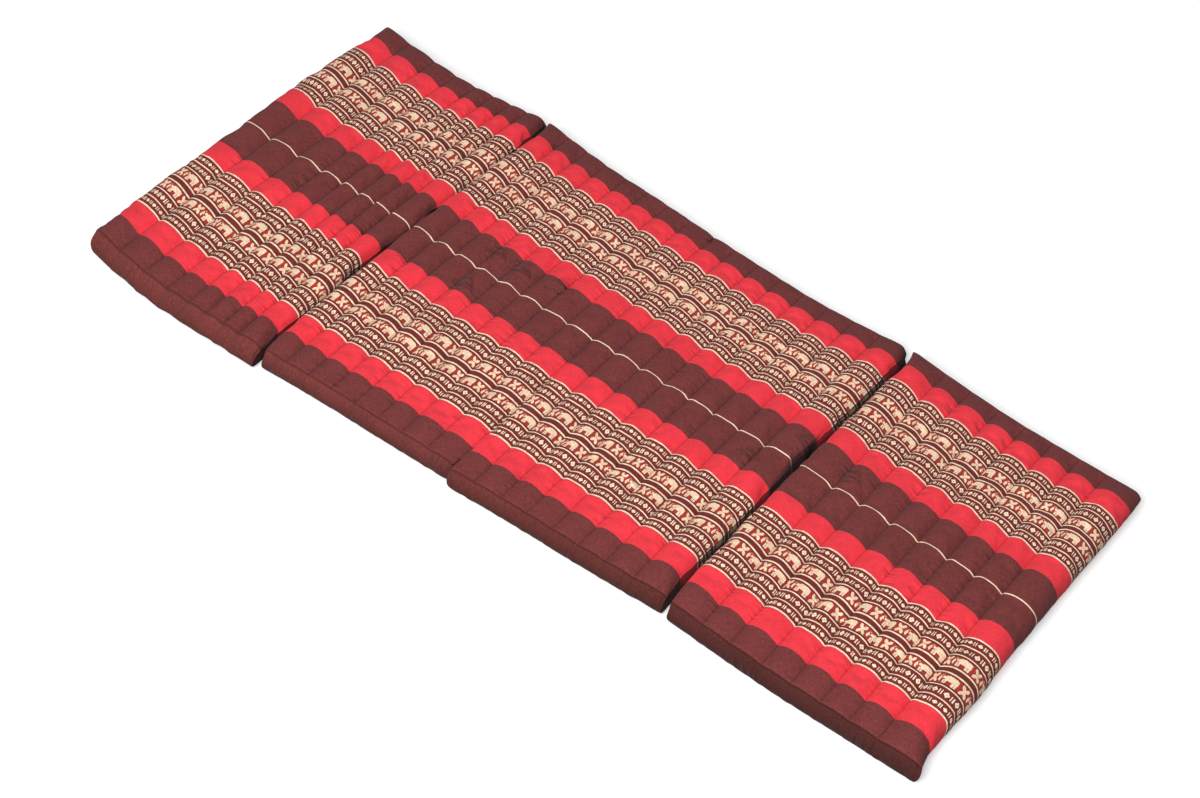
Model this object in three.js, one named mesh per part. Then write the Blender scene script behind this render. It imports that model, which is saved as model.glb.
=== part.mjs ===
// A folding floor mattress: four kapok pads in one striped cotton cover, laid out flat.
// Every pad is a filled solid with eight sewn channels across its width. Three narrow strips
// of the cover bridge the pads: the outer two lie on the floor, the middle one lies on top.
// Millimetres, +Z up. X runs along the mattress, Y across it, and the floor is z = 0.
import * as THREE from "three";

// Driving sizes of the whole mattress.
const WIDTH = 820;
const SEAM_HEIGHT = 48;
const CROWNING = 0.19;
const GROOVE_DEPTH = 3;
const GROOVE_HALF_SHARE = 0.14;
const CLOTH = 1.5;
const CLEARANCE = 0.4;

// How the laid mattress departs from a true rectangle: the fan and taper per millimetre of X,
// and how far its middle line lies behind the middle of its long sides.
const FAN = -0.000045;
const TAPER = -0.00004;
const MIDDLE_SHIFT = 9;

// How far the stitching draws the long sides in, and how far the corners stand back.
const STITCH_PULL = 3.5;
const CORNER_PULL = 7;
const EDGE_REACH = 30;
const TUCK_REACH = 60;

// One row per pad: channel widths from its left end, the rise of each channel above the seam,
// and the kind of end on each side.
const PADS = [
  {
    name: "pad_1",
    widths: [76, 78, 66, 57, 47, 45, 41, 57],
    rises: [17, 16, 14, 14, 15, 15, 16, 18],
    left: "free",
    right: "floorFold",
  },
  {
    name: "pad_2",
    widths: [63, 56, 57, 58, 59, 58, 63, 65],
    rises: [18, 14, 13, 12, 12, 11, 11, 11],
    left: "floorFold",
    right: "topFold",
  },
  {
    name: "pad_3",
    widths: [57, 63, 60, 61, 61, 62, 63, 75],
    rises: [11, 12, 12, 12, 12, 13, 14, 18],
    left: "topFold",
    right: "floorFold",
  },
  {
    name: "pad_4",
    widths: [86, 65, 71, 65, 65, 62, 63, 80],
    rises: [18, 15, 16, 15, 15, 15, 15, 18],
    left: "floorFold",
    right: "free",
  },
];

// End outlines from the top down: how far back from the end or the middle of the fold, what share
// of the seam height, and what share of the channel's rise.
const ENDS = {
  free: [
    { back: 24, height: 1, rise: 0.94 },
    { back: 10, height: 1, rise: 0.62 },
    { back: 2.5, height: 0.94, rise: 0.05 },
    { back: 0, height: 0.58, rise: 0 },
    { back: 3, height: 0.24, rise: 0 },
    { back: 13, height: 0, rise: 0 },
  ],
  floorFold: [
    { back: 19, height: 1, rise: 0.9 },
    { back: 8, height: 1, rise: 0.5 },
    { back: 2.5, height: 0.92, rise: 0 },
    { back: 1, height: 0.55, rise: 0 },
    { back: 2.5, height: 0.22, rise: 0 },
    { back: 7, height: 0, rise: 0 },
  ],
  topFold: [
    { back: 7.2, height: 1, rise: 0.5 },
    { back: 7, height: 1, rise: 0.3 },
    { back: 0.6, height: 0.965, rise: 0 },
    { back: 1, height: 0.62, rise: 0 },
    { back: 4, height: 0.26, rise: 0 },
    { back: 15, height: 0, rise: 0 },
  ],
};

// Stations from a long side inwards: depth from the side, share of the seam height reached,
// share of the channel rise, lift of the underside, and tuck of the ends.
const SIDE_STATIONS = [
  { depth: 0, seam: 0.66, rise: 0, lift: 13, tuck: 12 },
  { depth: 2.5, seam: 0.84, rise: 0, lift: 6, tuck: 7 },
  { depth: 7, seam: 0.97, rise: 0.1, lift: 1, tuck: 3 },
  { depth: 10, seam: 1, rise: 0.38, lift: 0, tuck: 1.5 },
  { depth: 27, seam: 1, rise: 0.84, lift: 0, tuck: 0 },
  { depth: 75, seam: 1, rise: 1, lift: 0, tuck: 0 },
  { depth: 235, seam: 1, rise: 1, lift: 0, tuck: 0 },
];
const MIDDLE_STATION = { depth: WIDTH / 2, seam: 1, rise: 1, lift: 0, tuck: 0 };

// Share of the rise at points across one channel.
const CROWN = [
  { share: 0.17, rise: 0.7 },
  { share: 0.5, rise: 1 },
  { share: 0.83, rise: 0.7 },
];

const sum = (values) => values.reduce((total, value) => total + value, 0);

const LENGTH = sum(PADS.map((pad) => sum(pad.widths)));

// How much fuller a pad is at a depth from its long side than at the seam.
function fullness(depth) {
  return 1 + CROWNING * Math.sin((Math.PI / 2) * Math.min(1, depth / (WIDTH / 2)));
}

// Places a point of the straight mattress on the slightly fanned and tapered one.
function lay(x, y, z) {
  const shift = MIDDLE_SHIFT * (1 - (y / (WIDTH / 2)) ** 2);
  return [x + FAN * x * y, y * (1 + TAPER * x) + shift, z];
}

// Outline points of one pad in a plane across Y, going once round from the left end's foot.
// h is the share of the seam height, e the rise above it, pull the hold of the nearest stitch.
function outlineOf(pad, start) {
  const end = start + sum(pad.widths);
  const points = [];
  const addEnd = (rows, edge, inward, rise) => {
    for (const row of rows) {
      points.push({ x: edge + inward * row.back, h: row.height, e: row.rise * rise, pull: 0 });
    }
  };
  addEnd([...ENDS[pad.left]].reverse(), start, 1, pad.rises[0]);
  const stitches = [];
  let x = start;
  pad.widths.forEach((width, channel) => {
    const opensFree = channel === 0 && pad.left !== "topFold";
    const closesFree = channel === pad.widths.length - 1 && pad.right !== "topFold";
    for (const { share, rise } of CROWN) {
      const besideEnd = (opensFree && share < 0.5) || (closesFree && share > 0.5);
      if (!besideEnd) {
        const pull = Math.abs(share - 0.5);
        points.push({ x: x + share * width, h: 1, e: rise * pad.rises[channel], pull });
      }
    }
    x += width;
    if (channel < pad.widths.length - 1) {
      points.push({ x, h: 1, e: 0, pull: 1 });
      stitches.push({ x, before: width, after: pad.widths[channel + 1] });
    }
  });
  addEnd(ENDS[pad.right], end, -1, pad.rises.at(-1));
  for (const { x: line, before, after } of stitches.reverse()) {
    points.push({ x: line + GROOVE_HALF_SHARE * after, h: 0, e: 0, pull: 0 });
    points.push({ x: line, h: 0, e: 0, pull: 0.5, groove: GROOVE_DEPTH });
    points.push({ x: line - GROOVE_HALF_SHARE * before, h: 0, e: 0, pull: 0 });
  }
  return { points, start, end };
}

// One closed ring of a pad at a station; side is -1 at the front and 1 at the back.
function ringAt(outline, station, side) {
  const { points, start, end } = outline;
  const middle = (start + end) / 2;
  const half = (end - start) / 2;
  const nearSide = Math.max(0, 1 - station.depth / EDGE_REACH);
  return points.map((point) => {
    const fromEnd = half - Math.abs(point.x - middle);
    const tuck = station.tuck * Math.max(0, 1 - fromEnd / TUCK_REACH);
    const x = point.x - Math.sign(point.x - middle) * tuck;
    const corner = CORNER_PULL * Math.abs((point.x - middle) / half) ** 6;
    const drawn = nearSide * (STITCH_PULL * point.pull + corner);
    const y = side * (WIDTH / 2 - station.depth - drawn);
    const seam = SEAM_HEIGHT * station.seam * fullness(station.depth);
    const foot = station.lift + (point.groove ?? 0);
    const z = foot + point.h * (seam - foot) + station.rise * point.e;
    return [x, y, z];
  });
}

// Joins equal rings into one closed skin with a flat side at each end.
function skin(rings) {
  const count = rings[0].length;
  const index = [];
  rings.slice(1).forEach((_, row) => {
    for (let i = 0; i < count; i += 1) {
      const next = (i + 1) % count;
      const a = row * count + i;
      const b = row * count + next;
      index.push(a, b, a + count, b, b + count, a + count);
    }
  });
  const cap = (row, flip) => {
    const flat = rings[row].map(([x, , z]) => new THREE.Vector2(x, z));
    for (const [a, b, c] of THREE.ShapeUtils.triangulateShape(flat, [])) {
      const corners = flip ? [a, c, b] : [a, b, c];
      index.push(...corners.map((corner) => row * count + corner));
    }
  };
  cap(0, false);
  cap(rings.length - 1, true);
  const geometry = new THREE.BufferGeometry();
  const places = rings.flat().flatMap(([x, y, z]) => lay(x, y, z));
  geometry.setAttribute("position", new THREE.Float32BufferAttribute(places, 3));
  geometry.setIndex(index);
  geometry.computeVertexNormals();
  return geometry;
}

function padGeometry(pad, start) {
  const outline = outlineOf(pad, start);
  const front = SIDE_STATIONS.map((station) => ringAt(outline, station, -1));
  const back = SIDE_STATIONS.map((station) => ringAt(outline, station, 1)).reverse();
  return skin([...front, ringAt(outline, MIDDLE_STATION, 1), ...back]);
}

// A strip of the cover that bridges two pads, as a thin sheet. Its middle lies lower than its
// long edges by the dip, and it rises with the pads where it rests on top of them.
function stripGeometry(x, { halfWidth, share, gap, dip }) {
  const upright = CLOTH * Math.hypot(1, dip / halfWidth);
  const ringOf = (depth, side) => {
    const y = side * (WIDTH / 2 - depth);
    const bottom = share * SEAM_HEIGHT * fullness(depth) + gap;
    return [
      [x - halfWidth, y, bottom + dip],
      [x - halfWidth, y, bottom + dip + upright],
      [x, y, bottom + upright],
      [x + halfWidth, y, bottom + dip + upright],
      [x + halfWidth, y, bottom + dip],
      [x, y, bottom],
    ];
  };
  const depths = SIDE_STATIONS.map((station) => station.depth).filter((depth) => depth >= STRIP_DEPTH);
  const front = depths.map((depth) => ringOf(depth, -1));
  const back = depths.map((depth) => ringOf(depth, 1)).reverse();
  return skin([...front, ringOf(MIDDLE_STATION.depth, 1), ...back]);
}

const cottons = {
  striped: { color: 0xa8423c, roughness: 0.9 },
  maroon: { color: 0x6e3735, roughness: 0.92 },
};

function mesh(name, geometry, cotton) {
  const material = new THREE.MeshStandardMaterial({ ...cottons[cotton], metalness: 0 });
  const piece = new THREE.Mesh(geometry, material);
  piece.name = name;
  return piece;
}

const mattress = new THREE.Group();
mattress.name = "folding_floor_mattress";

// The strips start this far in from the long sides.
const STRIP_DEPTH = 27;
const FLOOR_STRIP = {
  halfWidth: ENDS.floorFold.at(-1).back - 4 * CLEARANCE,
  share: 0,
  gap: 0,
  dip: 0,
};
const TOP_STRIP = {
  halfWidth: ENDS.topFold[1].back - 2 * CLEARANCE,
  share: ENDS.topFold[2].height,
  gap: CLEARANCE,
  dip: 4.8,
};

let x = -LENGTH / 2;
PADS.forEach((pad, number) => {
  mattress.add(mesh(pad.name, padGeometry(pad, x), "striped"));
  x += sum(pad.widths);
  if (number < PADS.length - 1) {
    const onTop = pad.right === "topFold";
    const geometry = stripGeometry(x, onTop ? TOP_STRIP : FLOOR_STRIP);
    mattress.add(mesh(`fold_strip_${number + 1}`, geometry, onTop ? "striped" : "maroon"));
  }
});

export default mattress;
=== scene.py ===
import math

import bmesh
import bpy
from mathutils import Matrix, Vector, noise


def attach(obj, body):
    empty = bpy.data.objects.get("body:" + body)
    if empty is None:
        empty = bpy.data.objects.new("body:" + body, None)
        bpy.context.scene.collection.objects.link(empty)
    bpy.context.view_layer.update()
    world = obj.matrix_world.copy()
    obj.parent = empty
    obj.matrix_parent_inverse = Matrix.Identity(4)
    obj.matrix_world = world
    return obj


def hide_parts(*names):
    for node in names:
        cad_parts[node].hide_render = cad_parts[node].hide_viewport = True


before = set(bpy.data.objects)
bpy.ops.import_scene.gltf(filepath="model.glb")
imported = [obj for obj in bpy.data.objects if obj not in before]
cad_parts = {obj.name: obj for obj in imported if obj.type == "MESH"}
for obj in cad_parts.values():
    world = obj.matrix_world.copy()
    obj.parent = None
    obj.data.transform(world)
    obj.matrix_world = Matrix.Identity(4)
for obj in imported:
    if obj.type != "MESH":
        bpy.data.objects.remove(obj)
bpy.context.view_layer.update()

# The cover's cloth: cotton dyed red and dark maroon, with two woven brocade bands that carry rows
# of cream elephants between bordered stripes. It is woven in one length, so the stripes run on
# over every pad. Sizes are millimetres across the cloth from its middle, and along it.
RED_INNER = (77, 126)
RED_OUTER = (300, 349)
BAND_MIDDLE = 213
BAND_HALF = 87
MIDDLE_LINE = 1.25
THREAD = 0.8


class Shade:
    """A value in a cloth's shader. Arithmetic on it adds Math nodes, and add() any other node.

    A comparison gives a mask of 0 and 1, and & and | join masks."""

    def __init__(self, socket):
        self.socket = socket

    def add(self, kind, settings=None, sockets=None, out=0):
        """A new node's output, from the node's settings and its sockets' values or links."""
        tree = self.socket.id_data
        node = tree.nodes.new(kind)
        for name, value in (settings or {}).items():
            if name == "points":
                points = node.mapping.curves[0].points
                while len(points) < len(value):
                    points.new(0.5, 0.5)
                for point, place in zip(points, value):
                    point.location = place
                    point.handle_type = "VECTOR"
                node.mapping.update()
            else:
                setattr(node, name, value)
        for name, value in (sockets or {}).items():
            if isinstance(value, Shade):
                tree.links.new(value.socket, node.inputs[name])
            else:
                node.inputs[name].default_value = value
        return Shade(node.outputs[out])

    def math(self, operation, *others):
        """A Math node on this value and any others."""
        values = dict(enumerate((self, *others)))
        return self.add("ShaderNodeMath", {"operation": operation}, values)

    def __add__(self, other):
        return self.math("ADD", other)

    __radd__ = __add__

    def __sub__(self, other):
        return self.math("SUBTRACT", other)

    def __rsub__(self, other):
        return self.math("MULTIPLY_ADD", -1.0, other)

    def __mul__(self, other):
        return self.math("MULTIPLY", other)

    __rmul__ = __mul__

    def __truediv__(self, other):
        return self.math("DIVIDE", other)

    def __mod__(self, other):
        return self.math("FLOORED_MODULO", other)

    def __pow__(self, other):
        return self.math("POWER", other)

    def __abs__(self):
        return self.math("ABSOLUTE")

    def __lt__(self, other):
        return self.math("LESS_THAN", other)

    def __gt__(self, other):
        return self.math("GREATER_THAN", other)

    def __and__(self, other):
        return self.math("MULTIPLY", other)

    def __or__(self, other):
        return self.math("MAXIMUM", other)

    def between(self, low, high):
        """A mask of where this value lies between two others."""
        return (self > low) & (self < high)

    def clamped(self):
        """This value, kept from 0 to 1."""
        return self.math("MAXIMUM", 0.0).math("MINIMUM", 1.0)

    def near(self, reach):
        """1 where this distance is 0, falling to 0 at the reach."""
        return (1 - abs(self) / reach).clamped()

    def dye(self, colour, ground):
        """A colour where this mask is 1, over the colour of the ground."""
        return self.add("ShaderNodeMix", {"data_type": "RGBA"}, {0: self, 6: ground, 7: colour}, 2)


# The studio's light shows the cloth this much brighter than it is dyed.
STUDIO_LIGHT = 1.35


def dyed(red, green, blue):
    """A colour as it looks on a screen, where white is 255, as the shader's linear colour.

    The grain darkens the cloth a little, so its brightest colours pass 255."""
    parts = [c / 255 for c in (red, green, blue)]
    linear = [c / 12.92 if c <= 0.04045 else ((c + 0.055) / 1.055) ** 2.4 for c in parts]
    return (*[c / STUDIO_LIGHT for c in linear], 1.0)


def woven_cloth(name):
    """A cotton material, with its surface colour left to set."""
    material = bpy.data.materials.new(name)
    material.use_nodes = True
    shader = material.node_tree.nodes["Principled BSDF"]
    shader.inputs["Roughness"].default_value = 0.9
    shader.inputs["Specular IOR Level"].default_value = 0.15
    shader.inputs["Sheen Weight"].default_value = 0.05
    shader.inputs["Sheen Roughness"].default_value = 0.5
    return material, shader


def uv_of(shader, name):
    """A piece's own UV map, and its two coordinates in millimetres."""
    node = shader.id_data.nodes.new("ShaderNodeUVMap")
    node.uv_map = name
    place = Shade(node.outputs[0])
    first, second = (place.add("ShaderNodeSeparateXYZ", None, {0: place}, axis) for axis in (0, 1))
    return place, first * 1000, second * 1000


def wander(place, along, across, detail=2.0):
    """Noise that changes so many times per metre along the cloth and across it, from 0 to 1."""
    stretched = place.add(
        "ShaderNodeVectorMath", {"operation": "MULTIPLY"}, {0: place, 1: (along, across, 1.0)}
    )
    return place.add("ShaderNodeTexNoise", None, {"Vector": stretched, "Scale": 1.0, "Detail": detail})


# How much painted shade darkens a stitch valley, a seam groove and the inside of a fold, half the
# width of the first two, how far a seam's painted shade lies over the edge, and the stitch distance
# that marks the inside of a fold for its painted shade.
STITCH_SHADE = 0.34
SEAM_SHADE = 0.50
FOLD_SHADE = 0.75
STITCH_HALF = 2.6
SEAM_HALF = 2.4
SEAM_OVER = 0.6
FOLD_MARK = -30


def finish_cloth(shader, colour, place, stitch, seam, puckers, grain):
    """Thread grain, puckers and painted shade in stitch valleys, seams and folds, over a dyed colour."""
    weft = wander(place, 620, 130)
    warp = wander(place, 130, 620)
    cloudy = wander(place, 16, 16, 3.0)
    shade = 0.86 + ((weft - 0.5) + (warp - 0.5) * 1.3) * grain + cloudy * 0.28
    # Painted shade: dark bands along the stitch valleys and seam grooves, and over the inside of folds.
    line = stitch.near(STITCH_HALF)
    edge = (seam + SEAM_OVER).near(SEAM_HALF)
    inside_fold = (stitch / FOLD_MARK).clamped()
    shade = shade * (1 - (STITCH_SHADE * line | SEAM_SHADE * edge | FOLD_SHADE * inside_fold))
    grey = shade.add("ShaderNodeCombineXYZ", None, {0: shade, 1: shade, 2: shade})
    multiply = {"data_type": "RGBA", "blend_type": "MULTIPLY"}
    colour = colour.add("ShaderNodeMix", multiply, {0: 1.0, 6: colour, 7: grey}, 2)
    tree = shader.id_data
    tree.links.new(colour.socket, shader.inputs["Base Color"])
    height = weft * 0.10 + warp * 0.10 + puckers
    bump = height.add("ShaderNodeBump", None, {"Strength": 0.6, "Distance": 0.003, "Height": height})
    tree.links.new(bump.socket, shader.inputs["Normal"])


striped_cotton, striped_shader = woven_cloth("striped_cotton")
place, along, across = uv_of(striped_shader, "cloth")
_, stitch, seam = uv_of(striped_shader, "lines")

# The stripes of dyed cotton. Inside a band, picks are counted from its middle.
RED = dyed(257, 65, 78)
MAROON = dyed(127, 60, 59)
side = abs(across)
red = side.between(*RED_INNER) | side.between(*RED_OUTER)
in_band = abs(side - BAND_MIDDLE) < BAND_HALF
pick = (across - across.math("SIGN") * BAND_MIDDLE).math("SNAP", THREAD)
end = along.math("SNAP", THREAD)
from_middle = abs(pick)

# Two rows of elephants stand in each band, upright when seen from the front. An elephant faces the
# left end: the share of its height that its back and its feet reach, from the trunk to the tail.
ROW_START = 10.8
ROW_END = 33.6
REPEAT = 56
REPEAT_START = 20
ELEPHANT_LENGTH = 36
ELEPHANT_HEIGHT = 21.8
ELEPHANT_BACK = (
    (0.0, 0.52), (0.03, 0.70), (0.08, 0.85), (0.16, 0.92), (0.25, 0.90), (0.31, 0.82),
    (0.37, 0.93), (0.55, 0.98), (0.80, 0.96), (0.92, 0.86), (0.965, 0.70), (1.0, 0.60),
)
ELEPHANT_FEET = (
    (0.0, 0.30), (0.05, 0.20), (0.09, 0.20), (0.095, 0.52), (0.23, 0.46), (0.24, 0.04),
    (0.42, 0.04), (0.43, 0.42), (0.68, 0.42), (0.69, 0.04), (0.90, 0.04), (0.91, 0.38),
)
in_row = from_middle.between(ROW_START, ROW_END)
in_repeat = (end + REPEAT_START) % REPEAT
up = pick + ROW_END - (pick > 0) * (ROW_START + ROW_END)
reach = in_repeat / ELEPHANT_LENGTH
back = reach.add("ShaderNodeFloatCurve", {"points": ELEPHANT_BACK}, {1: reach}) * ELEPHANT_HEIGHT
feet = reach.add("ShaderNodeFloatCurve", {"points": ELEPHANT_FEET}, {1: reach}) * ELEPHANT_HEIGHT
elephant = (up < back) & (up > feet) & (in_repeat < ELEPHANT_LENGTH)

# Its ear is an arc behind the head, and its legs part in pairs: places along it and up from its feet.
EAR = (8.8, 15.0)
EAR_RADIUS = 3.9
EAR_HALF_LINE = 1.0
EAR_END = 11
EYE = (3.8, 16.8)
EYE_HALF = 1.7
LEG_GAPS = (11.9, 28.6)
LEG_GAP_HALF = 0.6
LEG_HEIGHT = 9.5
from_ear = ((in_repeat - EAR[0]) ** 2.0 + (up - EAR[1]) ** 2.0).math("SQRT")
ear = (abs(from_ear - EAR_RADIUS) < EAR_HALF_LINE) & (in_repeat < EAR_END)
eye = abs(in_repeat - EYE[0]) + abs(up - EYE[1]) < EYE_HALF
cut_out = ear | eye
for gap in LEG_GAPS:
    cut_out = cut_out | ((abs(in_repeat - gap) < LEG_GAP_HALF) & (up < LEG_HEIGHT))

# A flower of four slanting petals stands between two elephants.
FLOWER = (46, 11.4)
PETAL_SLANT = (0.56, 0.83)
PETAL_MIDDLE = 6.3
PETAL_HALF = (5.9, 2.9)
aside = abs(in_repeat - FLOWER[0])
above = abs(up - FLOWER[1])
along_petal = (aside * PETAL_SLANT[0] + above * PETAL_SLANT[1] - PETAL_MIDDLE) / PETAL_HALF[0]
across_petal = (above * PETAL_SLANT[0] - aside * PETAL_SLANT[1]) / PETAL_HALF[1]
flower = along_petal ** 2.0 + across_petal ** 2.0 < 1
figures = ((elephant & (1 - cut_out)) | flower) & in_row

# The borders: pairs of bars between rosettes in the inner one, and between buds in the outer one.
ROSETTE_MIDDLE = 50.1
ROSETTE_REPEAT = 21
ROSETTE_START = 6
ROSETTE_HALF = 6.1
ROSETTE_SQUEEZE = 1.15
ROSETTE_EYE = 1.2
BUD_MIDDLE = 74.2
BUD_REPEAT = 19.5
BUD_HALF = 4.7
BUD_TOP = 3.6


def bars(from_border, in_repeat, repeat, apart, half_width, half_height):
    """A pair of bars at the first quarter of each repeat."""
    from_pair = abs(in_repeat - repeat / 4)
    return (abs(from_pair - apart) < half_width) & (from_border < half_height)


inner = abs(from_middle - ROSETTE_MIDDLE)
in_inner = (end + ROSETTE_START) % ROSETTE_REPEAT
from_rosette = abs(in_inner - ROSETTE_REPEAT * 3 / 4)
rosettes = from_rosette * ROSETTE_SQUEEZE + inner < ROSETTE_HALF
rosettes = rosettes & (from_rosette + inner > ROSETTE_EYE)
outer = abs(from_middle - BUD_MIDDLE)
in_outer = end % BUD_REPEAT
from_bud = abs(in_outer - BUD_REPEAT * 3 / 4)
buds = (from_bud + outer < BUD_HALF) & (outer < BUD_TOP)
inner_bars = bars(inner, in_inner, ROSETTE_REPEAT, apart=2.1, half_width=1.0, half_height=5.2)
outer_bars = bars(outer, in_outer, BUD_REPEAT, apart=1.9, half_width=0.9, half_height=3.8)
borders = rosettes | inner_bars | buds | outer_bars

# Cream lines part the rows and borders: the middle of each and half its width. A dark line runs
# along both edges of a row, and fine ribs cross the strip between the two rows.
CREAM_LINES = ((6.6, 1.6), (37.7, 1.45), (63.1, 1.45), (85.0, 1.45))
DARK_LINE = 2.8
RIBBED_HALF = 5.2
RIB_SLANT = 1.2
RIB_DEPTH = 0.4
cream = figures | borders
for middle, half in CREAM_LINES:
    cream = cream | (abs(from_middle - middle) < half)
cream = (in_band & cream) | (side < MIDDLE_LINE)
dark_lines = from_middle.between(ROW_START - DARK_LINE, ROW_START)
dark_lines = dark_lines | from_middle.between(ROW_END, ROW_END + DARK_LINE)
ribs = ((end - pick * RIB_SLANT) % (4 * THREAD) < 1.5 * THREAD) & (from_middle < RIBBED_HALF)
twill = (end + pick) % (3 * THREAD) < THREAD

BORDER = dyed(130, 53, 48)
BRICK = dyed(180, 62, 54)
DARK = dyed(100, 42, 36)
CREAM = dyed(274, 245, 213)
STRAW = dyed(252, 218, 180)
colour = red.dye(RED, MAROON)
colour = in_band.dye(BORDER, colour)
colour = (in_band & in_row).dye(BRICK, colour)
colour = (in_band & ribs * RIB_DEPTH).dye(DARK, colour)
colour = (in_band & dark_lines).dye(DARK, colour)
colour = cream.dye(CREAM, colour)
colour = (in_band & figures & twill).dye(STRAW, colour)

# The cloth is drawn into small folds across the stitch lines, more at some places than others, and
# it is gathered where a channel is overfull: millimetres along the cloth and across it.
GATHERS = ((861, 44), (867, -62), (935, 40), (1039, 62), (1653, -50), (1733, 45), (1925, 30))
GATHER_REACH = (34, 46)
GATHER_FOLDS = 19
STITCH_REACH = 22
STITCH_FOLDS = 10
some = (wander(place, 6, 6) * 3.4 - 1.4).clamped()
drawn = stitch.near(STITCH_REACH) * some * STITCH_FOLDS
for gather_along, gather_across in GATHERS:
    far = abs(along - gather_along) / GATHER_REACH[0] + abs(across - gather_across) / GATHER_REACH[1]
    drawn = drawn + far.near(1.0) * GATHER_FOLDS
puckers = wander(place, 16, 90) * drawn
finish_cloth(striped_shader, colour, place, stitch, seam, puckers, 0.9 - red * 0.45)

# The plain cotton of the long walls and the underside. Painted shade darkens it along the mattress
# towards the right end and down to its foot, and no stitch shows on it, so the distance from a stitch
# is kept off 0.
WALL = dyed(136, 65, 61)
WALL_SHADED_FAR = dyed(92, 45, 41)
WALL_SHADED_FOOT = dyed(60, 30, 27)
WALL_SHADE_START = 800
WALL_SHADE_LENGTH = 1200
WALL_SHADE_DOWN = -70
WALL_FOLDS = 16
maroon_cotton, maroon_shader = woven_cloth("maroon_cotton")
place, along, _ = uv_of(maroon_shader, "cloth")
_, stitch, seam = uv_of(maroon_shader, "lines")
# Painted shade: the walls and underside turn darker towards the right end and down to the foot.
colour = ((along - WALL_SHADE_START) / WALL_SHADE_LENGTH).clamped().dye(WALL_SHADED_FAR, WALL)
colour = (seam / WALL_SHADE_DOWN).clamped().dye(WALL_SHADED_FOOT, colour)
some = (wander(place, 9, 2) * 3 - 1.2).clamped()
puckers = wander(place, 90, 10) * some * WALL_FOLDS
finish_cloth(maroon_shader, colour, place, stitch * 3 + 4, seam, puckers, 0.9)


# The pads: four lengths of the cover, each sewn across into eight channels and filled with kapok.
# Plain maroon strips close the long sides, and the striped cloth runs down over the ends.

# A pad's channels have their widths and rises from the left. Each end has how far its front and
# back corners stand back, and each long side how far it stands out at the left, middle and right,
# how far its wall bulges, and the share of a channel's rise that is left at its seam. Ease is the
# share of its laid length that the pattern takes.
PADS = (
    {
        "name": "pad_1",
        "widths": (76, 78, 66, 57, 47, 45, 41, 57),
        "rises": (17, 16, 14, 14, 15, 15, 16, 18),
        "ends": ("left end", "floor fold"),
        "corners": ((-4, -5), (-6, 10)),
        "front": (-15, 12, 10),
        "back": (14, -3, 22),
        "walls": (26, 11),
        "edge_rise": (0.42, 0.30),
        "ease": 1.0,
    },
    {
        "name": "pad_2",
        "widths": (63, 56, 57, 58, 59, 58, 63, 65),
        "rises": (18, 14, 13, 12, 12, 11, 11, 11),
        "ends": ("floor fold", "top fold"),
        "corners": ((8, -9), (0, 0)),
        "front": (10, 3, -1),
        "back": (22, 0, -9),
        "walls": (15, 11),
        "edge_rise": (0.25, 0.12),
        "ease": 1.0,
    },
    {
        "name": "pad_3",
        "widths": (57, 63, 60, 61, 61, 62, 63, 75),
        "rises": (11, 12, 12, 12, 12, 13, 14, 18),
        "ends": ("top fold", "floor fold"),
        "corners": ((0, 0), (-5, 16)),
        "front": (11, 3, -6),
        "back": (-9, -14, 8),
        "walls": (15, 11),
        "edge_rise": (0.25, 0.10),
        "ease": 1.0,
    },
    {
        "name": "pad_4",
        "widths": (86, 65, 71, 65, 65, 62, 63, 80),
        "rises": (18, 15, 16, 15, 15, 15, 15, 18),
        "ends": ("floor fold", "right end"),
        "corners": ((8, -8), (-16, 4)),
        "front": (-2, 9, 8),
        "back": (8, -9, -2),
        "walls": (14, 11),
        "edge_rise": (0.22, 0.06),
        "ease": 0.9,
    },
)
LENGTH = sum(sum(pad["widths"]) for pad in PADS)
SEAM_SIDE = 400
SEAM_HEIGHT = 48
CROWNING = 0.19
GROOVE = 3.0
GROOVE_HALF = 9
FOLD_DIP = 2.2
FOLD_REACH = 9
FOLD_GAP = 0.8
RISE_VARIES = 0.10
CHANNEL_STEP = 57
CREST_WANDERS = 1.6
WALL_EASE = 1.2
FAN = -0.000045
TAPER = -0.00004
MIDDLE_SHIFT = 9
HALF_WIDTH = 410

# Cells of a pad's skin: in a channel, across the top and up a side.
CHANNEL_CELLS = 11
ACROSS_CELLS = 92
UP_CELLS = 7
STRIP_COLUMNS = 3
END_TOP_SHARE = 0.42

# Outlines from the top down. An end starts at the crown of its channel: how far back it is from
# the end or the middle of the fold, and its share of the crown's height. A long side starts at
# its seam: how far out it bulges, and its share of the seam's height.
END_OUTLINES = {
    "left end": (
        (24, 0.985), (10, 0.92), (0, 0.78), (-5, 0.6), (-6, 0.42), (-3, 0.22), (3, 0.08), (11, 0),
    ),
    "right end": (
        (26, 0.98), (12, 0.9), (2, 0.76), (-1, 0.6), (0, 0.42), (4, 0.22), (10, 0.08), (18, 0),
    ),
    "floor fold": (
        (20, 0.975), (11.5, 0.885), (7.6, 0.74), (6.2, 0.56), (5.6, 0.38), (5.4, 0.2), (6, 0.06), (7, 0),
    ),
    "top fold": (
        (0.9, 0.93), (0.8, 0.8), (1.2, 0.6), (2.4, 0.4), (5, 0.2), (9, 0.06), (15, 0),
    ),
}
SIDE_OUTLINE = ((0, 1), (0.36, 0.9), (0.7, 0.74), (0.94, 0.52), (1, 0.32), (0.8, 0.1), (0.1, 0))
OUTLINE_HEIGHT = 60

# How the ends depart from their outlines, and how far that reaches: a free end swells out at a place
# across it, the lower corners draw in, and a corner that stands back no more than SHARP_CORNER
# keeps its top edge out.
END_SWELL = {"left end": (175, 9), "right end": (-215, 7)}
SWELL_REACH = 100
LOWER_CORNER = {"left end": 22, "right end": 3, "floor fold": 3, "top fold": 3}
LOWER_REACH = 50
CORNER_REACH = 60
SHARP_CORNER = 8
END_REACH = 40


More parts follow.
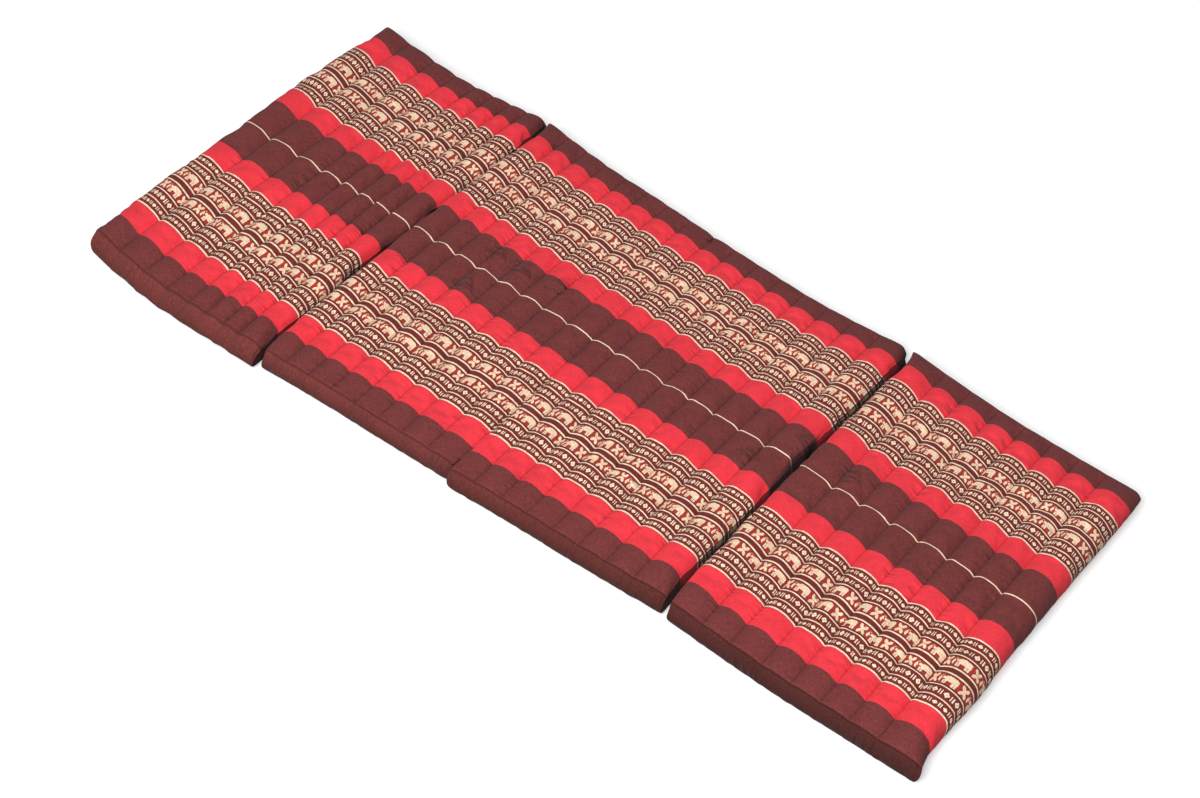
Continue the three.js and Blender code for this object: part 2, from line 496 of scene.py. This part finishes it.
def follow(rows, share):
    """The point at a share of the way along a smooth line through the rows.

    A row is a distance and a share of a height, which counts as OUTLINE_HEIGHT."""
    steps = [math.hypot(b[0] - a[0], (b[1] - a[1]) * OUTLINE_HEIGHT) for a, b in zip(rows, rows[1:])]
    left = share * sum(steps)
    number = 0
    while number < len(steps) - 1 and left > steps[number]:
        left -= steps[number]
        number += 1
    t = min(1.0, left / steps[number])
    p0, p1 = Vector(rows[max(0, number - 1)]), Vector(rows[number])
    p2, p3 = Vector(rows[number + 1]), Vector(rows[min(len(rows) - 1, number + 2)])
    bend = 2 * p0 - 5 * p1 + 4 * p2 - p3
    turn = 3 * p1 - p0 - 3 * p2 + p3
    return 0.5 * (2 * p1 + (p2 - p0) * t + bend * t**2 + turn * t**3)


def lay(x, y, z):
    """A place on the straight mattress, in millimetres, as metres on the slightly fanned one."""
    shift = MIDDLE_SHIFT * (1 - (y / HALF_WIDTH) ** 2)
    return Vector((x + FAN * x * y, y * (1 + TAPER * x) + shift, z)) / 1000


def smooth(low, high, value):
    """An even ramp from 0 to 1, flat at both its ends."""
    t = min(1.0, max(0.0, (value - low) / (high - low)))
    return t * t * (3 - 2 * t)


def channel_share(cell):
    """Cells lie closer together towards the stitch lines."""
    even = cell / CHANNEL_CELLS
    return 0.45 * even + 0.55 * (0.5 - 0.5 * math.cos(math.pi * even))


def crown(share):
    """The round of a filled channel, from one stitch line to the next."""
    return max(0.0, 1 - abs(2 * share - 1) ** 2.1) ** 0.84


FILL_DEPTH = 76


def rise_near_seam(edge_rise, depth):
    """How far a channel has filled out at a depth from the seam of the long side."""
    return edge_rise + (1 - edge_rise) * math.sin(math.pi / 2 * min(1.0, depth / FILL_DEPTH)) ** 0.8


def stitch_height(depth):
    """The height of a stitch line: the pads are fuller towards their middle."""
    return SEAM_HEIGHT * (1 + CROWNING * math.sin(math.pi / 2 * min(1.0, depth / SEAM_SIDE)))


def fold_dip(back):
    """How far the striped cloth dips at a distance from the middle fold."""
    return FOLD_DIP * math.exp(-((back / FOLD_REACH) ** 2))


def across_place(row):
    """Rows lie closer together towards the long seams."""
    even = 2 * row / ACROSS_CELLS - 1
    return SEAM_SIDE * (0.62 * even + 0.38 * math.sin(math.pi / 2 * even))


def uneven(x, y, size, seed):
    """A slow wander between -1 and 1."""
    return noise.noise(Vector((x / size, y / size, seed)))


class PadShape:
    """Where each cell corner of one pad lies, from its place on a box of cells."""

    def __init__(self, pad, start):
        self.pad = pad
        self.start = start
        self.end = start + sum(pad["widths"])
        self.columns = CHANNEL_CELLS * len(pad["widths"])
        self.bounds = [start + sum(pad["widths"][:n]) for n in range(len(pad["widths"]) + 1)]
        self.arc = [0.0]
        points = [self.top(column, ACROSS_CELLS // 2) for column in range(self.columns + 1)]
        for a, b in zip(points, points[1:]):
            self.arc.append(self.arc[-1] + (b - a).length * pad["ease"])

    def channel(self, column):
        """The channel that a column lies in, and its share of the way across it."""
        number = min(column // CHANNEL_CELLS, len(self.pad["widths"]) - 1)
        return number, channel_share(column - number * CHANNEL_CELLS)

    def end_beside(self, column):
        """Which end the column's outer half channel rounds off to, and how far along it is."""
        number, share = self.channel(column)
        if number == 0 and share < 0.5:
            return 0, 1 - 2 * share
        if number == len(self.pad["widths"]) - 1 and share > 0.5:
            return 1, 2 * share - 1
        return None, 0.0

    def under_strip(self, column):
        """Whether the column lies by a fold whose cloth runs on over the top."""
        first, last = self.pad["ends"]
        if first == "top fold" and column <= STRIP_COLUMNS:
            return True
        return last == "top fold" and column >= self.columns - STRIP_COLUMNS

    def end_place(self, which, along, y):
        """A point of an end outline: x, and its share of the crown's height."""
        kind = self.pad["ends"][which]
        width = self.pad["widths"][-which]
        rows = END_OUTLINES[kind]
        if kind != "top fold":
            rows = ((width / 2, 1.0), *rows)
        back, height = follow(rows, along)
        low = max(0.0, along - END_TOP_SHARE)
        corner = max(0.0, 1 - (SEAM_SIDE - abs(y)) / CORNER_REACH) ** 2
        rounded = self.pad["corners"][which][y > 0]
        back *= 1 - 0.5 * corner * (low == 0 and rounded <= SHARP_CORNER)
        back += LOWER_CORNER[kind] * low * corner * max(0.0, 1 - back / LOWER_REACH)
        back += rounded * corner * max(0.0, 1 - abs(back) / END_REACH)
        middle, swell = END_SWELL.get(kind, (0, 0))
        swell *= math.exp(-(((y - middle) / SWELL_REACH) ** 2))
        back -= swell * max(0.0, 1 - abs(back) / END_REACH)
        return (self.end - back if which else self.start + back), height

    def top(self, column, row):
        """The point on top of the pad at a column along and a row across."""
        y = across_place(row)
        depth = SEAM_SIDE - abs(y)
        number, share = self.channel(column)
        left = self.bounds[number]
        width = self.pad["widths"][number]
        rise = self.pad["rises"][number] * rise_near_seam(self.pad["edge_rise"][y > 0], depth)
        rise *= 1 + RISE_VARIES * uneven(number * CHANNEL_STEP, y, size=150, seed=3.1)
        which, out = self.end_beside(column)
        if which is not None and self.pad["ends"][which] != "top fold":
            x, height = self.end_place(which, out * END_TOP_SHARE, y)
            return Vector((x, y, height * (stitch_height(depth) + rise)))
        x = left + share * width
        z = stitch_height(depth) + rise * crown(share)
        if which is not None:
            back = min(x - self.start, self.end - x)
            z -= fold_dip(back)
            x += (FOLD_GAP if which == 0 else -FOLD_GAP) * max(0.0, 1 - back / FOLD_REACH)
        else:
            x += CREST_WANDERS * uneven(left, y, size=120, seed=7.7) * (1 - abs(2 * share - 1))
        return Vector((x, y, z))

    def beside_fold(self, back, y):
        """The height of the top at a distance from the fold at its right end."""
        depth = SEAM_SIDE - abs(y)
        rise = self.pad["rises"][-1] * rise_near_seam(self.pad["edge_rise"][y > 0], depth)
        filled = rise * crown(back / self.pad["widths"][-1])
        return stitch_height(depth) + filled - fold_dip(back)

    def foot_x(self, column):
        """Where the foot of a column stands along the mattress."""
        number, share = self.channel(column)
        which, out = self.end_beside(column)
        if which is None:
            return self.bounds[number] + share * self.pad["widths"][number]
        back = END_OUTLINES[self.pad["ends"][which]][-1][0]
        middle = self.pad["widths"][-which] / 2
        inward = middle + (back - middle) * out
        return self.end - inward if which else self.start + inward

    def place(self, column, row, level):
        """The point for a box corner: the column along, the row across and the level up."""
        top = self.top(column, row)
        if level == UP_CELLS:
            return top
        down = 1 - level / UP_CELLS
        on_side = row in (0, ACROSS_CELLS)
        number, share = self.channel(column)
        which, out = self.end_beside(column)
        wall = self.pad["walls"][row > 0]
        bulge, height = follow([(share * wall, height) for share, height in SIDE_OUTLINE], down)
        near_end = out**4
        pull = 0.0 if which is None else LOWER_CORNER[self.pad["ends"][which]] * near_end * down
        y = top.y * (1 + (bulge - pull) / SEAM_SIDE)
        if level == 0:
            inside = 1 - smooth(0, GROOVE_HALF, abs(share - round(share)) * self.pad["widths"][number])
            sewn = which is None or out < 0.5
            return Vector((self.foot_x(column), y, GROOVE * inside if sewn else 0.0))
        x, z = top.x, top.z * height
        if which is not None:
            depth = SEAM_SIDE - abs(top.y)
            kind = self.pad["ends"][which]
            start_share = 0.0 if kind == "top fold" else END_TOP_SHARE
            end_x, end_height = self.end_place(which, start_share + (1 - start_share) * down, top.y)
            rise = self.pad["rises"][-which] * rise_near_seam(self.pad["edge_rise"][top.y > 0], depth)
            crest = stitch_height(depth) + (0 if kind == "top fold" else rise)
            half_channel = self.pad["widths"][-which] / 2
            middle_x = self.end - half_channel if which else self.start + half_channel
            edge_x = self.top(self.columns if which else 0, row).x
            x = middle_x + (end_x - middle_x) * (top.x - middle_x) / (edge_x - middle_x)
            z = z + (end_height * crest - z) * near_end if on_side else end_height * crest
        return Vector((x, y, z))

    def bowed(self, point):
        """Moves a point out with its long side, which stands out differently along the pad."""
        t = (point.x - self.start) / (self.end - self.start)
        left, middle, right = self.pad["back" if point.y > 0 else "front"]
        to_left = max(0.0, 1 - 2 * t) ** 1.5
        to_right = max(0.0, 2 * t - 1) ** 1.5
        out = middle + (left - middle) * to_left + (right - middle) * to_right
        return Vector((point.x, point.y * (1 + out / SEAM_SIDE), point.z))

    def cloth(self, column, row, level):
        """Where the point lies on the flat cloth: along and across, in millimetres."""
        down = UP_CELLS - level
        along = self.arc[column]
        if column in (0, self.columns) and down:
            along += (1 if column else -1) * down * SEAM_HEIGHT / UP_CELLS
        across = across_place(row)
        if row in (0, ACROSS_CELLS):
            across += math.copysign(down * SEAM_HEIGHT / UP_CELLS * WALL_EASE, across)
        return along, across

    def lines(self, column, row, level):
        """How far the point is from a stitch line and from a long seam, in millimetres."""
        number, share = self.channel(column)
        stitch = min(share, 1 - share) * self.pad["widths"][number]
        which, _ = self.end_beside(column)
        if which is not None and self.pad["ends"][which] != "top fold":
            stitch = self.pad["widths"][-which] / 2
            on_end = column in (0, self.columns) and level < UP_CELLS
            # The end faces inside a floor fold take the fold mark, so painted shade covers them.
            if on_end and self.pad["ends"][which] == "floor fold":
                stitch = FOLD_MARK
        if row in (0, ACROSS_CELLS):
            return stitch, -(UP_CELLS - level) * SEAM_HEIGHT / UP_CELLS
        return stitch, SEAM_SIDE - abs(across_place(row))


def box_of_cells(mesh, cells):
    """Turns an empty bmesh into a unit box, cut into cells along each axis."""
    bmesh.ops.create_cube(mesh, size=1.0, matrix=Matrix.Translation((0.5, 0.5, 0.5)))
    for axis, count in enumerate(cells):
        edges = [e for e in mesh.edges if abs((e.verts[0].co - e.verts[1].co)[axis]) > 1e-6]
        bmesh.ops.subdivide_edges(mesh, edges=edges, cuts=count - 1, use_grid_fill=True)


STITCH_CREASE = 0.9
SEAM_CREASE = 0.6


def make_pad(pad, shape, cloth_start):
    """The cover of one pad, and the length of striped cloth that it takes."""
    mesh = bmesh.new()
    cells = (shape.columns, ACROSS_CELLS, UP_CELLS)
    box_of_cells(mesh, cells)
    cloth_map = mesh.loops.layers.uv.new("cloth")
    line_map = mesh.loops.layers.uv.new("lines")
    crease = mesh.edges.layers.float.new("crease_edge")
    corner = {v: tuple(round(c * n) for c, n in zip(v.co, cells)) for v in mesh.verts}
    sewn = set()
    for v, (column, row, level) in corner.items():
        on_stitch = column % CHANNEL_CELLS == 0 and 0 < column < shape.columns
        if level == UP_CELLS and (on_stitch or row in (0, ACROSS_CELLS)):
            sewn.add(v)
    for edge in mesh.edges:
        a, b = (corner[v] for v in edge.verts)
        along_stitch = a[0] == b[0] and all(v in sewn for v in edge.verts)
        along_seam = a[1] == b[1] and a[1] in (0, ACROSS_CELLS) and a[2] == b[2] == UP_CELLS
        edge[crease] = STITCH_CREASE if along_stitch else SEAM_CREASE if along_seam else 0.0
    for face in mesh.faces:
        face.smooth = True
        face.material_index = 0 if face.normal.z > 0.5 or abs(face.normal.x) > 0.5 else 1
        for loop in face.loops:
            column, row, level = corner[loop.vert]
            along, across = shape.cloth(column, row, level)
            loop[cloth_map].uv = ((cloth_start + along) / 1000, across / 1000)
            stitch, seam = shape.lines(column, row, level)
            loop[line_map].uv = (stitch / 1000, seam / 1000)
    for v, (column, row, level) in corner.items():
        v.co = lay(*shape.bowed(shape.place(column, row, level)))
    data = bpy.data.meshes.new(pad["name"])
    mesh.verts.index_update()
    held = [v for v, (column, _, level) in corner.items() if level <= 1 or shape.under_strip(column)]
    pinned = [v.index for v in sewn.union(held)]
    mesh.to_mesh(data)
    mesh.free()
    piece = bpy.data.objects.new(pad["name"] + "_cloth", data)
    bpy.context.scene.collection.objects.link(piece)
    data.materials.append(striped_cotton)
    data.materials.append(maroon_cotton)
    group = piece.vertex_groups.new(name="sewn")
    group.add(pinned, 1.0, "REPLACE")
    return piece, shape.arc[-1] + (0 if pad["ends"][1] == "top fold" else 2 * SEAM_HEIGHT)


# The filling presses the cover out between its stitches, with the sewn lines and the underside
# held. The cloth is a little larger than the space for it, so it puckers along the stitches.
FILL_FRAMES = 20
FILL_REACH = 0.005


def press_out(pieces):
    """Lets the filling press the covers out, each point no further than the reach."""
    for piece in pieces:
        cloth = piece.modifiers.new("kapok", "CLOTH")
        cloth.settings.quality = 5
        cloth.settings.mass = 0.3
        cloth.settings.tension_stiffness = 12
        cloth.settings.compression_stiffness = 12
        cloth.settings.shear_stiffness = 4
        cloth.settings.bending_stiffness = 0.3
        cloth.settings.shrink_min = -0.02
        cloth.settings.vertex_group_mass = "sewn"
        cloth.settings.use_pressure = True
        cloth.settings.uniform_pressure_force = 4
        cloth.settings.effector_weights.gravity = 0
        cloth.collision_settings.use_collision = False
        cloth.collision_settings.use_self_collision = False
        cloth.point_cache.frame_start = 1
        cloth.point_cache.frame_end = FILL_FRAMES
    for number in range(1, FILL_FRAMES + 1):
        bpy.context.scene.frame_set(number)
    graph = bpy.context.evaluated_depsgraph_get()
    for piece in pieces:
        filled = [v.co.copy() for v in piece.evaluated_get(graph).data.vertices]
        piece.modifiers.clear()
        for v, place in zip(piece.data.vertices, filled):
            move = place - v.co
            v.co += move * min(1.0, FILL_REACH / max(move.length, 1e-9))
            v.co.z = max(v.co.z, 0.0)
    bpy.context.scene.frame_set(1)


pads = []
shapes = []
start = -LENGTH / 2
cloth_starts = [0.0]
for pad in PADS:
    shapes.append(PadShape(pad, start))
    piece, used = make_pad(pad, shapes[-1], cloth_starts[-1])
    start += sum(pad["widths"])
    cloth_starts.append(cloth_starts[-1] + used)
    pads.append(piece)
press_out(pads)
for pad, piece in zip(PADS, pads):
    round_off = piece.modifiers.new("round", "SUBSURF")
    round_off.levels = round_off.render_levels = 1
    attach(piece, "root")
    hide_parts(pad["name"])


# The fold strips: where the cover bridges two pads. The outer two are plain and lie on the floor,
# the middle one is striped and lies in the valley between the crowns.
STRIPS = (
    {"name": "fold_strip_1", "half": 5.4, "slot": "maroon_cotton", "on_top": False},
    {"name": "fold_strip_2", "half": 6.4, "slot": "striped_cotton", "on_top": True},
    {"name": "fold_strip_3", "half": 5.4, "slot": "maroon_cotton", "on_top": False},
)
STRIP_THICK = 1.0
STRIP_LENGTH = 766
STRIP_GAP = 0.35
STRIP_CELLS = (8, 96, 1)
STRIP_TO_SEAM = 50

fold = -LENGTH / 2
for number, strip in enumerate(STRIPS):
    fold += sum(PADS[number]["widths"])
    shape = shapes[number]
    mesh = bmesh.new()
    box_of_cells(mesh, STRIP_CELLS)
    cloth_map = mesh.loops.layers.uv.new("cloth")
    line_map = mesh.loops.layers.uv.new("lines")
    for v in mesh.verts:
        x = (2 * v.co.x - 1) * strip["half"]
        y = (v.co.y - 0.5) * STRIP_LENGTH
        for loop in v.link_loops:
            loop[cloth_map].uv = ((cloth_starts[number + 1] + x) / 1000, y / 1000)
            # The striped strip's middle counts as a stitch line, so painted shade darkens it as in a
            # valley.
            loop[line_map].uv = (abs(x) / 1000, STRIP_TO_SEAM / 1000)
        z = STRIP_THICK * v.co.z
        if strip["on_top"]:
            z += shape.beside_fold(abs(x), y) + STRIP_GAP
        v.co = lay(*shape.bowed(Vector((fold + x, y, z))))
    bmesh.ops.recalc_face_normals(mesh, faces=mesh.faces)
    data = bpy.data.meshes.new(strip["name"])
    mesh.to_mesh(data)
    mesh.free()
    for face in data.polygons:
        face.use_smooth = True
    piece = bpy.data.objects.new(strip["name"] + "_cloth", data)
    bpy.context.scene.collection.objects.link(piece)
    data.materials.append(striped_cotton if strip["on_top"] else maroon_cotton)
    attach(piece, "root")
    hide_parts(strip["name"])
    slope = math.hypot(strip["half"], shape.beside_fold(strip["half"], 0) - shape.beside_fold(0, 0))


# The stage: a plain white floor, one large soft lamp in front of the mattress and above it, and a
# long lens as high as someone standing on a step by the near corner would hold it.
FLOOR_SIZE = 40
FLOOR_BELOW = 0.0006
bpy.ops.mesh.primitive_plane_add(size=FLOOR_SIZE, location=(0, 0, -FLOOR_BELOW))
floor = bpy.context.object
floor.name = "floor"
white = bpy.data.materials.new("white_floor")
white.use_nodes = True
nodes = white.node_tree.nodes
seen = Shade(nodes.new("ShaderNodeLightPath").outputs["Is Camera Ray"])
dim = seen.add("ShaderNodeBsdfDiffuse", None, {"Color": (0.22, 0.22, 0.22, 1)})
pale = seen.add("ShaderNodeBsdfDiffuse", None, {"Color": (0.85, 0.85, 0.85, 1)})
glow = seen.add("ShaderNodeEmission", None, {"Color": (1, 1, 1, 1), "Strength": 0.3})
bright = seen.add("ShaderNodeAddShader", None, {0: pale, 1: glow})
paper = seen.add("ShaderNodeMixShader", None, {0: seen, 1: dim, 2: bright})
white.node_tree.links.new(paper.socket, nodes["Material Output"].inputs["Surface"])
floor.data.materials.append(white)

scene = bpy.context.scene
scene.view_settings.view_transform = "Standard"
world = bpy.data.worlds.new("studio")
world.use_nodes = True
world.node_tree.nodes["Background"].inputs["Color"].default_value = (1, 1, 1, 1)
world.node_tree.nodes["Background"].inputs["Strength"].default_value = 0.40
scene.world = world

LAMP_PLACE = Vector((1.3, -4.8, 5.6))
light = bpy.data.lights.new("key", "AREA")
light.size = 4.6
light.energy = 600
lamp = bpy.data.objects.new("key", light)
scene.collection.objects.link(lamp)
lamp.location = LAMP_PLACE
lamp.rotation_euler = (-LAMP_PLACE).to_track_quat("-Z", "Y").to_euler()

CAMERA_PLACE = Vector((2.685, -3.324, 4.755))
LOOKS_AT = Vector((0.051, -0.096, 0.052))
CAMERA_ROLL = math.radians(0.8)
view = bpy.data.cameras.new("camera")
view.lens = 97.6
view.sensor_width = 36
camera = bpy.data.objects.new("camera", view)
scene.collection.objects.link(camera)
aim = (LOOKS_AT - CAMERA_PLACE).to_track_quat("-Z", "Y").to_matrix().to_4x4()
camera.matrix_world = Matrix.Translation(CAMERA_PLACE) @ aim @ Matrix.Rotation(CAMERA_ROLL, 4, "Z")
scene.camera = camera
